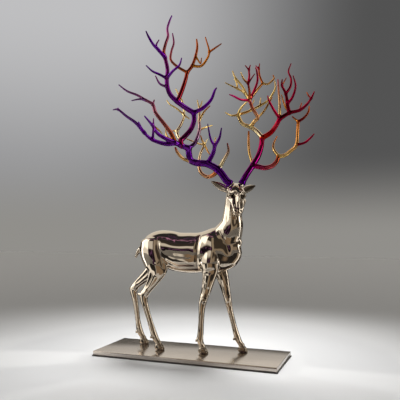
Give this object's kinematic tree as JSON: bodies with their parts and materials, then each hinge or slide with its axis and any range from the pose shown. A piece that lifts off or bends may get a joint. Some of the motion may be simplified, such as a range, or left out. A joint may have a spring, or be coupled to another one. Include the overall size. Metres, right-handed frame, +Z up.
{
  "type": "deer sculpture",
  "caption": "Mirror-polished stainless steel sculpture of a walking stag with large coloured branching antlers, standing on a flat rectangular steel base",
  "frame": {"origin": "middle of the under plate's underside, on the floor", "axes": "+X is the way the stag walks, along the base's long side; +Z is up; -Y is the side that the face turns to"},
  "size_m": [1.7278, 0.7707, 2.7593],
  "materials": {
    "body_mirror_steel": "mirror-polished stainless steel with a slightly warm champagne tint",
    "antler_left_plating": "mirror-polished steel with coloured plating, violet to dark purple in front and gold on the rear branches",
    "antler_right_plating": "mirror-polished steel with coloured plating, purple at the base, then magenta and crimson, gold on the rear branches",
    "base_steel": "fine satin with a soft mirror image, bright polished edge",
    "under_plate_dark": "dark satin coat"
  },
  "bodies": {
    "root": {"deer_body": "body_mirror_steel", "antler_left": "antler_left_plating", "antler_right": "antler_right_plating", "base_plate": "base_steel", "under_plate": "under_plate_dark"}
  },
  "joints": []
}
